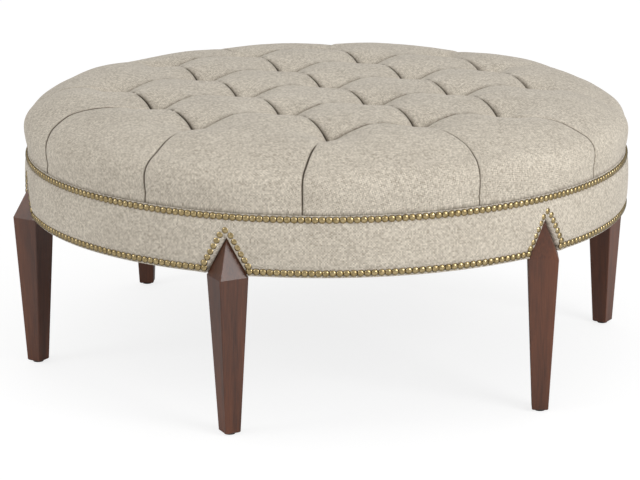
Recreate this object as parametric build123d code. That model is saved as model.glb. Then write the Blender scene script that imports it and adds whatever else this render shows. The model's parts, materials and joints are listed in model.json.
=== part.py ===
from build123d import *
import math
import os

# Round tufted ottoman coffee table on six obelisk-topped legs.
# Millimetres, +Z up. The origin is on the floor under the centre, and leg 1 stands towards -Y.
# Legs, blocks and rails are numbered anticlockwise, seen from above.

# Clearances
fit_gap = 0.2  # between wooden pieces, and round screws and bolts
soft_gap = 0.3  # round padding and covers
overrun = 5.0  # how far a cut runs past the face that it starts from
slim_sides = 6  # sides of slim bars and holes, of which there are many

# Legs: tapered square posts set corner outwards, each ending in a pyramid
leg_count = 6
span_over_legs = 1118.0
leg_side = 50.8
foot_side = 27.0
obelisk_height = 63.3
obelisk_tip_side = 0.8
leg_edge_ease_share = 0.03  # chamfer on the long edges, as a share of the post's side
foot_chamfer = 1.6
shoulder_drop = 3.4  # the shoulder sits this far below the apron's hem

# Glides nailed under the feet
glide_radius = 9.0
glide_sides = 16
glide_height = 3.0
glide_pin_radius = 1.5
glide_pin_length = 14.0

# Apron: curved rails tongued into leg blocks, padded and covered
hem_height = 267.6
rail_height = 86.0
rail_thickness = 22.0
block_width = 90.0
block_depth = 58.0
tongue_thickness = 8.0
tongue_length = 10.0
padding_thickness = 6.1
fabric_thickness = 1.4
hem_turn_under = 10.0
band_top_drop = 0.7  # the band ends this far below the deck's top
notch_gap = 0.6  # round the wooden pyramids

# Deck and its two braces
deck_thickness = 18.0
brace_height = 50.0
brace_width = 38.0
brace_offset = 168.0
brace_deck_screw_reach = 336.0  # from a brace's middle to the screws that come down into it

# Seat: foam pad under a padded, diamond tufted cover
foam_height = 57.0
foam_inset = 31.0  # from the widest line of the seat to the foam's edge
crown_rise = 111.3  # deck top to crown
widest_rise = 39.0  # deck top to the seat's widest line
seat_overhang = 1.4  # past the apron's face
seat_foot_tuck = 3.6  # the seat's foot is drawn in this far from its widest line
shoulder_radius = 38.0
shoulder_bands = 3
crown_bands = 2
crown_flat_radius = 249.0
tuft_spacing = 165.0
tuft_depth = 52.0
saddle_depth = 10.0  # of a fold midway between two tufts
pillow_depth = 14.0  # of the gentle slope that rounds each pillow off
plug_radius = 11.0  # the cover's puckers, down in the foam's holes
plug_length = 12.0
pleat_depth = 9.0
pleat_width = 8.0  # at the surface
pleat_climb = 62.0  # the way in which a pleat climbs out of its tuft
pleat_foot_depth = 3.0
pleat_lap = 10.0  # how far one straight stretch of a pleat runs on past the next one's start

# Ties that hold the tufts down
tie_radius = 1.5
tie_hole_radius = 4.0
toggle_length = 26.0
toggle_width = 9.0
toggle_thickness = 6.0

# Dust cover under the frame
dust_cover_thickness = 0.8
dust_cover_inset = 4.0
staple_length = 10.0
staple_width = 1.2
staple_height = 0.6
staples_between_legs = 5
staple_inset = 6.0

# Decorative nails
nail_radius = 5.4
nail_dome = 3.4
nail_facets = 4
nail_pitch = 11.12
nail_lift = 0.15  # between a nail and the fabric
top_row_drop = 10.0  # below the band's top edge
low_row_rise = 8.1  # above the hem
vee_strip = 5.8  # fabric left between the wood and the nails
vee_apex_rise = 14.0  # apex nail above the tip of the wood
vee_first_rise = 5.9  # first pair above the tip of the wood
vee_pairs = 6
low_row_start = 38.4  # from a leg's centre line to the first nail of the low row

# Screws and bolts
deck_screw_radius = 2.1
deck_screw_length = 45.0
screw_head_share = 2.0  # a countersunk head's radius, as a share of its shank's
lock_screw_radius = 2.25
lock_screw_length = 44.0
lock_screw_rise = 27.0  # above the hem
lock_screw_tip_margin = 5.0  # wood left past the tip
head_well_radius = 7.0
brace_screw_radius = 2.25
brace_screw_length = 55.0
brace_screw_sink = 8.0
bolt_radius = 4.0
bolt_length = 66.0
bolt_setback = 15.0  # behind the leg's axis
insert_radius = 6.5
insert_length = 15.0
insert_flange_radius = 9.0
insert_flange_height = 1.5

# Derived sizes
leg_turn = 360 / leg_count
leg_half_diagonal = leg_side / math.sqrt(2)
leg_axis_radius = span_over_legs / 2 - leg_half_diagonal
rail_outer = leg_axis_radius
rail_inner = rail_outer - rail_thickness
rail_middle = rail_outer - rail_thickness / 2
shoulder_height = hem_height - shoulder_drop
tip_height = shoulder_height + obelisk_height
seat_of_leg = hem_height - fit_gap
rail_bottom = hem_height + fabric_thickness + fit_gap
rail_top = rail_bottom + rail_height
deck_top = rail_top + deck_thickness
band_top = deck_top - band_top_drop
padding_outer = rail_outer + soft_gap + padding_thickness
apron_radius = padding_outer + soft_gap + fabric_thickness
nail_seat_radius = apron_radius + nail_lift
seat_radius = apron_radius + seat_overhang
foam_radius = seat_radius - foam_inset
foam_top = deck_top + foam_height
widest_height = deck_top + widest_rise
crown_height = deck_top + crown_rise
tuft_height = crown_height - tuft_depth
bolt_axis_radius = leg_axis_radius - bolt_setback
bolt_top = rail_bottom + insert_length
lock_screw_height = hem_height + lock_screw_rise


# The half width of a pyramid at a height, measured corner to corner
def obelisk_half_width(height):
    return leg_half_diagonal * (tip_height - height) / obelisk_height


# Tufts lie on a square lattice turned so that its diamonds point at leg 1
def tuft_point(i, j):
    half_step = tuft_spacing / math.sqrt(2)
    return Vector((i + j) * half_step, (i - j) * half_step, 0)


tuft_reach = 2
tuft_places = [
    (i, j)
    for i in range(-tuft_reach, tuft_reach + 1)
    for j in range(-tuft_reach, tuft_reach + 1)
    if abs(i) + abs(j) < 2 * tuft_reach
]
outer_tufts = [place for place in tuft_places if max(abs(place[0]), abs(place[1])) == tuft_reach]


def turned(shape, degrees):
    return Rot(0, 0, degrees) * shape


def at_each_leg(shape):
    return [turned(shape, leg_turn * index) for index in range(leg_count)]


# An upright round bar between two heights
def bar(radius, low, high):
    return Pos(0, 0, low) * Cylinder(radius, high - low, align=(Align.CENTER, Align.CENTER, Align.MIN))


# A slim upright bar, also cut away as a hole
def slim_bar(radius, low, high):
    return Pos(0, 0, low) * extrude(RegularPolygon(radius, slim_sides), high - low)


def ring(outer, inner, low, high):
    return bar(outer, low, high) - bar(inner, low - overrun, high + overrun)


# A box on the -Y side, from its inner to its outer distance, centred on the leg's line
def outward_box(width, near, far, low, high):
    box = Box(width, far - near, high - low, align=(Align.CENTER, Align.MAX, Align.MIN))
    return Pos(0, -near, low) * box


# A countersunk screw that points down, its head's top at zero; grown gives the hole for it
def screw(shank_radius, length, grown=0):
    head_radius = shank_radius * screw_head_share
    head_depth = head_radius - shank_radius
    shank = slim_bar(shank_radius + grown, -length - grown, 0)
    neck = Pos(0, 0, -head_depth - grown) * RegularPolygon(shank_radius + grown, slim_sides)
    rim = RegularPolygon(head_radius + grown, slim_sides)
    return shank + loft([neck, rim], ruled=True)


def deck_screw_points():
    over_blocks = [
        (rail_inner - bolt_setback, leg_turn * index) for index in range(leg_count)
    ]
    over_rails = [
        (rail_middle, leg_turn * index + leg_turn / 2) for index in range(leg_count)
    ]
    points = [
        Vector(radius * math.sin(math.radians(turn)), -radius * math.cos(math.radians(turn)), 0)
        for radius, turn in over_blocks + over_rails
    ]
    for side in (-1, 1):
        for end in (-1, 1):
            points.append(Vector(end * brace_deck_screw_reach, side * brace_offset, 0))
    return points


def deck_screw_holes():
    hole = screw(deck_screw_radius, deck_screw_length, fit_gap)
    mouth = slim_bar(deck_screw_radius * screw_head_share + fit_gap, 0, overrun)
    return [Pos(p.X, p.Y, deck_top) * (hole + mouth) for p in deck_screw_points()]


def post_side_at(height):
    share = (height - glide_height) / (shoulder_height - glide_height)
    return foot_side + (leg_side - foot_side) * share


# A leg's side view, its width given as a share of its side, run through from front to back
def leg_slab(width_share):
    sides = [
        (foot_side - 2 * foot_chamfer, glide_height),
        (post_side_at(glide_height + foot_chamfer), glide_height + foot_chamfer),
        (leg_side, shoulder_height),
        (obelisk_tip_side, tip_height),
    ]
    right = [(side * width_share / 2, height) for side, height in sides]
    left = [(-half, height) for half, height in reversed(right)]
    return extrude(Plane.XZ * make_face(Polyline(*right, *left, close=True)), leg_side, both=True)


# Two crossed slabs leave the four faces, and two wider ones at half a turn between them the eased edges
def leg_post():
    across_faces = leg_slab(1)
    across_edges = leg_slab(math.sqrt(2) * (1 - leg_edge_ease_share))
    faces = turned(across_faces, 45) & turned(across_faces, 135)
    return faces & across_edges & turned(across_edges, 90)


def leg_lock_screw_place():
    tip_reach = leg_axis_radius + obelisk_half_width(lock_screw_height) - lock_screw_tip_margin
    return Pos(0, -tip_reach + lock_screw_length, lock_screw_height) * Rot(90, 0, 0) * Rot(0, 180, 0)


def lock_screw_solid(grown=0):
    place = leg_lock_screw_place()
    return place * screw(lock_screw_radius, lock_screw_length, grown)


def build_leg():
    post = Pos(0, -leg_axis_radius, 0) * leg_post()
    cope = bar(rail_outer + fit_gap, seat_of_leg, tip_height + overrun)
    bolt_foot = bolt_top - bolt_length
    bolt_hole = Pos(0, -bolt_axis_radius, 0) * slim_bar(
        bolt_radius + fit_gap, bolt_foot - fit_gap, seat_of_leg + overrun
    )
    pin_hole = Pos(0, -leg_axis_radius, 0) * slim_bar(
        glide_pin_radius + fit_gap, glide_height - overrun, glide_height + glide_pin_length + fit_gap
    )
    return post - cope - bolt_hole - pin_hole - lock_screw_solid(fit_gap)


def build_glide():
    disc = extrude(RegularPolygon(glide_radius, glide_sides), glide_height)
    pin = slim_bar(glide_pin_radius, 0, glide_height + glide_pin_length)
    return Pos(0, -leg_axis_radius, 0) * (disc + pin)


def build_leg_block():
    inner_face = rail_outer - block_depth
    block = outward_box(block_width, inner_face, rail_outer + overrun, rail_bottom, rail_top)
    block = block & bar(rail_outer, rail_bottom, rail_top)
    block += outward_box(
        block_width + 2 * tongue_length,
        rail_middle - tongue_thickness / 2,
        rail_middle + tongue_thickness / 2,
        rail_bottom,
        rail_top,
    )
    insert_hole = slim_bar(insert_radius + fit_gap, rail_bottom - overrun, bolt_top + fit_gap)
    flange_hole = slim_bar(
        insert_flange_radius + fit_gap, rail_bottom - overrun, rail_bottom + insert_flange_height + fit_gap
    )
    block -= Pos(0, -bolt_axis_radius, 0) * (insert_hole + flange_hole)
    well = slim_bar(head_well_radius, 0, block_depth)
    return block - leg_lock_screw_place() * well - lock_screw_solid(fit_gap)


def build_rails():
    rails = ring(rail_outer, rail_inner, rail_bottom, rail_top)
    near = rail_inner - block_depth
    far = rail_outer + overrun
    slot = outward_box(block_width + 2 * fit_gap, near, far, rail_bottom - overrun, rail_top + overrun)
    groove = outward_box(
        block_width + 2 * tongue_length + 2 * fit_gap,
        rail_middle - tongue_thickness / 2 - fit_gap,
        rail_middle + tongue_thickness / 2 + fit_gap,
        rail_bottom - overrun,
        rail_top + overrun,
    )
    for index in range(leg_count):
        rails -= turned(slot, leg_turn * index)
        rails -= turned(groove, leg_turn * index)
    for cutter in brace_screw_holes():
        rails -= cutter

    def turn_from_leg_1(solid):
        centre = solid.center()
        return math.degrees(math.atan2(centre.X, -centre.Y)) % 360

    return sorted(rails.solids(), key=turn_from_leg_1)


# Each brace's ends are held by a screw through the rail, sunk in a well
def brace_screw_places():
    shallow_side = math.sqrt(rail_outer**2 - (brace_offset + head_well_radius) ** 2)
    places = []
    for side in (-1, 1):
        for end in (-1, 1):
            head = shallow_side - brace_screw_sink
            place = Pos(end * head, side * brace_offset, rail_top - brace_height / 2)
            places.append(place * Rot(0, end * 90, 0))
    return places


def brace_screw_holes():
    hole = screw(brace_screw_radius, brace_screw_length, fit_gap)
    well = slim_bar(brace_screw_radius * screw_head_share + fit_gap, 0, rail_thickness)
    return [place * (hole + well) for place in brace_screw_places()]


def build_brace(side):
    blank = Pos(0, side * brace_offset, rail_top - brace_height) * Box(
        2 * rail_inner, brace_width, brace_height, align=(Align.CENTER, Align.CENTER, Align.MIN)
    )
    brace = blank & bar(rail_inner - fit_gap, rail_bottom, rail_top)
    for cutter in brace_screw_holes():
        brace -= cutter
    return brace


def build_deck():
    deck = bar(rail_outer, rail_top, deck_top)
    for i, j in tuft_places:
        point = tuft_point(i, j)
        deck -= Pos(point.X, point.Y, 0) * slim_bar(tie_hole_radius, rail_top - overrun, deck_top + overrun)
    return deck


def build_foam():
    foam = bar(foam_radius, deck_top, foam_top)
    for i, j in tuft_places:
        point = tuft_point(i, j)
        hole = slim_bar(plug_radius + soft_gap, deck_top - overrun, foam_top + overrun)
        foam -= Pos(point.X, point.Y, 0) * hole
    return foam


# The seat's side is a straight foot, a round shoulder and a long crown arc, tangent to each other
def crown_arc():
    across = seat_radius - shoulder_radius - crown_flat_radius
    rise = crown_height - widest_height
    radius = (across**2 + rise**2 - shoulder_radius**2) / (2 * (rise - shoulder_radius))
    centre_height = crown_height - radius
    meeting_angle = math.atan2(widest_height - centre_height, across)
    return radius, centre_height, meeting_angle


# Points on an arc, evenly spaced between two angles
def arc_points(centre, radius, first, last, bands):
    points = []
    for step in range(bands + 1):
        angle = first + (last - first) * step / bands
        points.append((centre[0] + radius * math.cos(angle), centre[1] + radius * math.sin(angle)))
    return points


# Both arcs are laid out in narrow bands, so that the folds cut plain cones
def seat_profile():
    radius, centre_height, meeting_angle = crown_arc()
    shoulder_centre = (seat_radius - shoulder_radius, widest_height)
    crown_centre = (crown_flat_radius, centre_height)
    shoulder = arc_points(shoulder_centre, shoulder_radius, 0, meeting_angle, shoulder_bands)
    crown = arc_points(crown_centre, radius, meeting_angle, math.pi / 2, crown_bands)
    foot = (seat_radius - seat_foot_tuck, deck_top)
    return Polyline((0, deck_top), foot, *shoulder, *crown[1:], (0, crown_height), close=True)


def seat_surface_height(distance):
    radius, centre_height, meeting_angle = crown_arc()
    if distance <= crown_flat_radius:
        return crown_height
    return centre_height + math.sqrt(radius**2 - (distance - crown_flat_radius) ** 2)


# A tuft's pit is an upside-down pyramid with its corners along the rows, so that two pits meet in a fold
def tuft_pit(place, reach, depth):
    point = tuft_point(*place)
    surface = crown_height + overrun
    grown_reach = reach * (depth + overrun) / depth
    mouth = RegularPolygon(grown_reach, 4)
    pit = loft([Pos(0, 0, surface) * mouth, Vertex(0, 0, crown_height - depth)])
    return Pos(point.X, point.Y, 0) * Rot(0, 0, 45) * pit


def tuft_pits():
    half_spacing = tuft_spacing / 2
    steep_reach = half_spacing * tuft_depth / (tuft_depth - saddle_depth)
    pits = [tuft_pit(place, steep_reach, tuft_depth) for place in tuft_places]
    return pits + [tuft_pit(place, tuft_spacing, pillow_depth) for place in tuft_places]


def point_round(distance, turn, height):
    angle = math.radians(turn)
    return Vector(distance * math.sin(angle), -distance * math.cos(angle), height)


# One straight stretch of a side pleat: a wedge that opens outwards from the line between two points
def pleat_run(start, end):
    run = end - start
    across = Vector(0, 0, 1).cross(start)
    plane = Plane(origin=start, x_dir=across, z_dir=run)
    reach = tuft_depth + overrun
    half_width = reach * pleat_width / (2 * pleat_depth)
    outline = Polyline((0, 0), (half_width, reach), (-half_width, reach), close=True)
    return extrude(plane * make_face(outline), run.length + pleat_lap, dir=run.normalized())


# A side pleat climbs out of an outer tuft, runs over the shoulder and down to the seat's foot.
# The feet of all the pleats are evenly spaced, so a pleat leans a little sideways on its way out.
def side_pleat(place):
    point = tuft_point(*place)
    distance = math.hypot(point.X, point.Y)
    turn = math.degrees(math.atan2(point.X, -point.Y))
    foot_step = 360 / len(outer_tufts)
    foot_turn = (math.floor(turn / foot_step) + 1 / 2) * foot_step
    meeting_angle = crown_arc()[2]
    shoulder_centre = seat_radius - shoulder_radius
    inner = shoulder_radius - pleat_depth
    climbed = distance + pleat_climb
    shoulder_top = widest_height + inner * math.sin(meeting_angle)
    line = [
        (distance, tuft_height),
        (climbed, seat_surface_height(climbed) - pleat_depth),
        (shoulder_centre + inner * math.cos(meeting_angle), shoulder_top),
        (seat_radius - pleat_depth, widest_height),
        (seat_radius - seat_foot_tuck - pleat_foot_depth, deck_top - overrun),
    ]
    points = []
    for reach, height in line:
        share = min((reach - distance) / (seat_radius - pleat_depth - distance), 1)
        points.append(point_round(reach, turn + (foot_turn - turn) * share, height))
    return [pleat_run(start, end) for start, end in zip(points, points[1:])]


def build_seat_cover():
    seat = revolve(Plane.XZ * make_face(seat_profile()), Axis.Z)
    cutters = tuft_pits()
    for place in outer_tufts:
        cutters += side_pleat(place)
    seat = seat.cut(*cutters)
    hollow = bar(foam_radius + soft_gap, deck_top - overrun, foam_top + soft_gap)
    for i, j in tuft_places:
        point = tuft_point(i, j)
        plug = slim_bar(plug_radius, foam_top - plug_length, foam_top + overrun)
        hollow -= Pos(point.X, point.Y, 0) * plug
    return seat - hollow


def build_ties():
    tie = slim_bar(tie_radius, rail_top, foam_top - plug_length)
    toggle = Pos(0, 0, rail_top - toggle_thickness) * Box(
        toggle_length, toggle_width, toggle_thickness, align=(Align.CENTER, Align.CENTER, Align.MIN)
    )
    points = [tuft_point(i, j) for i, j in tuft_places]
    ties = [Pos(p.X, p.Y, 0) * tie for p in points]
    toggles = [Pos(p.X, p.Y, 0) * toggle for p in points]
    return ties, toggles


# The notch that padding and band leave round a pyramid
def pyramid_notch():
    low = hem_height - overrun
    spread = leg_half_diagonal / obelisk_height
    half_width = obelisk_half_width(low) + notch_gap
    peak = tip_height + notch_gap / spread
    near = math.sqrt(rail_outer**2 - leg_half_diagonal**2) - fit_gap
    outline = Polyline((half_width, low), (0, peak), (-half_width, low), close=True)
    plane = Plane(origin=(0, -near, 0), x_dir=(1, 0, 0), z_dir=(0, -1, 0))
    return extrude(plane * make_face(outline), apron_radius - near + overrun)


def cut_at_legs(shape, cutter):
    for piece in at_each_leg(cutter):
        shape -= piece
    return shape


def build_apron_padding():
    padding = ring(
        padding_outer, rail_outer + soft_gap, hem_height + fabric_thickness + soft_gap, band_top - soft_gap
    )
    return cut_at_legs(padding, pyramid_notch())


def build_apron_band():
    inner = apron_radius - fabric_thickness
    turned_under = rail_outer - hem_turn_under
    outline = Polyline(
        (apron_radius, hem_height),
        (apron_radius, band_top),
        (inner, band_top),
        (inner, hem_height + fabric_thickness),
        (turned_under, hem_height + fabric_thickness),
        (turned_under, hem_height),
        close=True,
    )
    band = revolve(Plane.XZ * make_face(outline), Axis.Z)
    bolt_hole = Pos(0, -bolt_axis_radius, 0) * slim_bar(
        bolt_radius + soft_gap, hem_height - overrun, hem_height + overrun
    )
    return cut_at_legs(cut_at_legs(band, pyramid_notch()), bolt_hole)


def build_dust_cover():
    low = hem_height - dust_cover_thickness
    sheet = bar(rail_outer - dust_cover_inset, low, hem_height)
    opening = Rot(0, 0, 45) * Box(
        leg_side + 2 * soft_gap,
        leg_side + 2 * soft_gap,
        dust_cover_thickness + 2 * overrun,
        align=(Align.CENTER, Align.CENTER, Align.MIN),
    )
    return cut_at_legs(sheet, Pos(0, -leg_axis_radius, low - overrun) * opening)


def build_staples():
    staple = Box(staple_length, staple_width, staple_height, align=(Align.CENTER, Align.CENTER, Align.MAX))
    radius = rail_outer - dust_cover_inset - staple_inset
    placed = Pos(0, -radius, hem_height - dust_cover_thickness) * staple
    step = leg_turn / (staples_between_legs + 1)
    return [
        turned(placed, leg_turn * index + step * (number + 1))
        for index in range(leg_count)
        for number in range(staples_between_legs)
    ]


# One nail head, its back at zero and its crown towards -Y
def nail_head():
    base = RegularPolygon(nail_radius, nail_facets)
    head = loft([base.face(), Vertex(0, 0, nail_dome)])
    return Rot(90, 0, 0) * head


def nail_at(head, along, height):
    turn = math.degrees(along / apron_radius)
    return turned(Pos(0, -nail_seat_radius, height) * head, turn)


def nail_rows():
    head = nail_head()
    around = 2 * math.pi * apron_radius
    top_count = round(around / nail_pitch)
    top = [nail_at(head, around * index / top_count, band_top - top_row_drop) for index in range(top_count)]
    sector = around / leg_count
    low_run = sector - 2 * low_row_start
    low_count = round(low_run / nail_pitch)
    low = [
        nail_at(head, sector * leg + low_row_start + low_run * index / low_count, hem_height + low_row_rise)
        for leg in range(leg_count)
        for index in range(low_count + 1)
    ]
    spread = leg_half_diagonal / obelisk_height
    slope = math.hypot(1, spread)
    side_offset = (nail_radius + vee_strip) * slope
    vees = []
    for leg in range(leg_count):
        centre = sector * leg
        vees.append(nail_at(head, centre, tip_height + vee_apex_rise))
        for pair in range(vee_pairs):
            drop = pair * nail_pitch / slope - vee_first_rise
            out = side_offset + drop * spread
            for side in (-1, 1):
                vees.append(nail_at(head, centre + side * out, tip_height - drop))
    return top, low, vees


def build_bolts():
    bolt = Pos(0, -bolt_axis_radius, 0) * slim_bar(bolt_radius, bolt_top - bolt_length, bolt_top)
    bush = slim_bar(insert_radius, rail_bottom, bolt_top)
    bush += slim_bar(insert_flange_radius, rail_bottom, rail_bottom + insert_flange_height)
    bush -= slim_bar(bolt_radius + fit_gap, rail_bottom - overrun, bolt_top + overrun)
    return at_each_leg(bolt), at_each_leg(Pos(0, -bolt_axis_radius, 0) * bush)


def save(name, shape):
    if isinstance(shape, list):
        shape = Compound([solid for piece in shape for solid in piece.solids()])
    shape.label = name
    export_step(shape, os.path.join("parts", name + ".step"))


def main():
    os.makedirs("parts", exist_ok=True)
    screw_holes = deck_screw_holes()

    def drilled(shape):
        for hole in screw_holes:
            shape = shape - hole
        return shape

    leg = build_leg()
    block = build_leg_block()
    rails = build_rails()
    for index in range(leg_count):
        save("leg_%d" % (index + 1), turned(leg, leg_turn * index))
        save("leg_block_%d" % (index + 1), drilled(turned(block, leg_turn * index)))
        save("apron_rail_%d" % (index + 1), drilled(rails[index]))
    save("foot_glides", at_each_leg(build_glide()))
    save("deck_brace_front", drilled(build_brace(-1)))
    save("deck_brace_rear", drilled(build_brace(1)))
    save("deck_board", drilled(build_deck()))
    save("foam_pad", build_foam())
    save("seat_cover", build_seat_cover())
    ties, toggles = build_ties()
    save("tuft_ties", ties)
    save("tie_toggles", toggles)
    save("apron_padding", build_apron_padding())
    save("apron_band", build_apron_band())
    save("dust_cover", build_dust_cover())
    save("dust_cover_staples", build_staples())
    top, low, vees = nail_rows()
    save("nails_top_row", top)
    save("nails_low_row", low)
    save("nails_leg_vees", vees)
    bolts, inserts = build_bolts()
    save("hanger_bolts", bolts)
    save("threaded_inserts", inserts)
    save("leg_lock_screws", at_each_leg(lock_screw_solid()))
    brace_screw = screw(brace_screw_radius, brace_screw_length)
    save("brace_screws", [place * brace_screw for place in brace_screw_places()])
    deck_screw = screw(deck_screw_radius, deck_screw_length)
    save("deck_screws", [Pos(p.X, p.Y, deck_top) * deck_screw for p in deck_screw_points()])


main()
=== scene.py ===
import json
import math

import bmesh
import bpy
import numpy as np
from mathutils import Matrix, Quaternion, Vector


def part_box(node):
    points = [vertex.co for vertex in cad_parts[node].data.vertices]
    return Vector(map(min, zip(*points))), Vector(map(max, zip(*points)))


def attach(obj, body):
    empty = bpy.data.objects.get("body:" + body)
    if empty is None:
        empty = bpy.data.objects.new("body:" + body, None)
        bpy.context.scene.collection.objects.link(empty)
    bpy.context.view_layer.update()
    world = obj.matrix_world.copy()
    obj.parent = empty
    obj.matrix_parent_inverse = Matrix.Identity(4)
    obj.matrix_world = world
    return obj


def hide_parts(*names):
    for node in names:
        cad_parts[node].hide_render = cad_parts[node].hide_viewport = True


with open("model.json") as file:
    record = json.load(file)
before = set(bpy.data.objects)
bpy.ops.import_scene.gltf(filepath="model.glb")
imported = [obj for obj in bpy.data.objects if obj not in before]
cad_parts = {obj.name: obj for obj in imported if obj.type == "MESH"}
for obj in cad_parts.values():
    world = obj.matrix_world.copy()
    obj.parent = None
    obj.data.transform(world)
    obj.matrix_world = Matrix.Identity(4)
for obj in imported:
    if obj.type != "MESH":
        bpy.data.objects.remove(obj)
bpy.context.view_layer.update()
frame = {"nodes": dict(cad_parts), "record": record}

# Round tufted ottoman: metres, +Z up, floor at 0, leg 1 towards -Y
body = "root"
print("frame loaded:", len(frame["nodes"]), "nodes")


def deselectAll():
    if bpy.context.object and bpy.context.object.mode != "OBJECT":
        bpy.ops.object.mode_set(mode="OBJECT")
    bpy.ops.object.select_all(action="DESELECT")


def readPoints(mesh):
    points = np.empty(len(mesh.vertices) * 3, np.float32)
    mesh.vertices.foreach_get("co", points)
    return points.reshape(-1, 3).astype(float)


def writePoints(mesh, points):
    mesh.vertices.foreach_set("co", np.asarray(points, np.float32).ravel())
    mesh.update()


# Extrude and bisect leave faces in an order that varies from run to run
def sortFaces(mesh):
    shape = bmesh.new()
    shape.from_mesh(mesh)
    inOrder = sorted(shape.faces, key=lambda face: sorted(vertex.index for vertex in face.verts))
    places = {face: place for place, face in enumerate(inOrder)}
    shape.faces.sort(key=places.get)
    shape.to_mesh(mesh)
    shape.free()


def newPiece(name, mesh):
    piece = bpy.data.objects.new(name, mesh)
    bpy.context.scene.collection.objects.link(piece)
    return piece


def smoothStep(low, high, value):
    share = np.clip((value - low) / (high - low), 0, 1)
    return share * share * (3 - 2 * share)


# A UV map in metres, from one point of the flat cloth for each vertex; around closes a strip's last column
def layUv(mesh, flat, around=0):
    layer = mesh.uv_layers.new(name="cloth")
    corners = np.empty(len(mesh.loops), np.int32)
    mesh.loops.foreach_get("vertex_index", corners)
    places = flat[corners]
    if around:
        quads = places.reshape(-1, 4, 2)
        wide = quads[:, :, 0].max(axis=1) - quads[:, :, 0].min(axis=1) > around / 2
        quads[wide, :, 0] += np.where(quads[wide, :, 0] < around / 2, around, 0)
    layer.data.foreach_set("uv", places.astype(np.float32).ravel())


# Painted shade for each vertex: how deep in a fold, or how close behind a nail, it lies
def layPaintedShade(mesh, values):
    shade = mesh.attributes.new("paintedShade", "FLOAT", "POINT")
    shade.data.foreach_set("value", values.ravel().astype(np.float32))


# Seat

seat = {
    "tuftSpacing": 0.165,
    "tuftReach": 2,
    "tuftDepth": 0.052,
    "crownFlatRadius": 0.249,
    "shoulderRadius": 0.038,
    "widestRise": 0.039,
    "footTuck": 0.0036,
    "softTuck": 0.0024,  # more, in the cloth alone
    "footDrop": 0.0034,  # below the deck, outside its edge
    "footLap": 0.0008,  # between the lip and the deck's edge
    "footHold": 0.75,  # how much of the folds goes flat at the foot
    "footHoldReach": 0.012,
    "wallInset": 0.0307,  # to the hollow that holds the foam
    "skinLeft": 0.001,  # over the foam under a tuft
    "arcSteps": 60,  # points on the crown's arc, and on the shoulder's
    "footSteps": 20,
    "stepsPerPanel": 44,
    "sideRows": 72,
    "underRows": 4,  # from the foot's lip to the ceiling of the hollow
    "gather": 0.76,  # how strongly the mesh lines gather at the folds
    "clothGather": 0.36,  # how much of that the cloth takes part in
    "lobeFullness": 2.35,  # of a pillow's corners
    "foldFullness": 3.2,  # of its edges
    "saddleDepth": 0.0045,
    "foldSteepness": 1.5,
    "foldSoftens": (0.068, 0.0825),  # away from the tuft
    "foldBow": 0.0028,  # sideways, between a tuft and the saddle
    "bowReach": 0.3,  # the share of the side that the bow fades over
    "slitDepth": 0.005,
    "pleatSlitDepth": 0.0025,
    "slitWidth": 0.0019,
    "pleatSlitWidth": 0.0015,
    "slitFade": 0.25,  # of a pleat's slit, at the foot
    "paintedShadeStrength": 0.2,  # of the painted shade beside a fold
    "paintedShadeWidth": 0.006,
    "pleatTurns": (0, 15, 45, 75),  # degrees round each quarter, at the foot
    # As laid by hand: degrees at the foot and halfway down, and how much wider than the rest
    "pleatShifts": {(-2, 0): -0.8, (-2, 1): -1.1, (-1, 2): -1.6, (0, 2): 0.2, (1, 2): 0.4},
    "pleatBulges": {(-2, 0): -5.0, (0, 2): 1.2, (1, 2): 0.9},
    "pleatOpenings": {(-2, 0): 2.0, (-2, 1): 1.4, (-1, 2): 1.2},
    "bulgeLean": 1.4,  # over 1, the bulge sits below the middle
    "pleatNarrow": 0.010,
    "pleatWide": 0.028,
    "pleatStart": {0: 0, 0.004: 0.004, 0.02: 0.006, 0.05: 0.0026},  # its depth, by distance from the tuft
    "pleatDepths": (0.0032, 0.00256, 0.0024),  # at the shoulder, the widest and the foot
    "pleatSharpens": (0.05, 0.095),  # away from the tuft
    "ringSwell": 0.004,  # of the outer pillows, beyond the tufts
    "ringAlong": 0.43,
    "ringWidth": 0.1,
    "pillowSwells": {174: 0.0070, 203: 0.0080, 48: 0.0044, 18: -0.0040},  # at degrees round the seat
    "swellTurn": 22,
    "swellAlong": 0.47,
    "swellWidth": 0.12,
    "shoulderEase": 0.0038,  # off the shoulder's corner
    "shoulderAlong": 0.513,
    "shoulderWidth": 0.05,
    "hollowDepth": 0.0030,  # beside a pleat
    "hollowWidth": 0.085,
    "hollowGrows": (0.03, 0.12),  # away from the tuft
    "puckerDepth": 0.0006,
    "puckerReach": 0.024,
    "puckerGrows": (0.002, 0.010),
    "puckerWaves": (7, 11),
    "unevenness": 0.0011,
    "unevenWaves": 6,
    "unevenLengths": (0.12, 0.3),
    "phaseReach": 6.3,  # of the random phases
    "seed": 7,
}
seatLow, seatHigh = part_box("seat_cover")
halfStep = seat["tuftSpacing"] / math.sqrt(2)
tuftPlaces = [
    (i, j)
    for i in range(-seat["tuftReach"], seat["tuftReach"] + 1)
    for j in range(-seat["tuftReach"], seat["tuftReach"] + 1)
    if abs(i) + abs(j) < 2 * seat["tuftReach"]
]
outerTufts = [place for place in tuftPlaces if max(abs(place[0]), abs(place[1])) == seat["tuftReach"]]


# From tufts counted along the lattice to a place in plan, and back
def planOf(i, j):
    return (i + j) * halfStep, (i - j) * halfStep


def latticeOf(x, y):
    return (x + y) / (2 * halfStep), (x - y) / (2 * halfStep)


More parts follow.
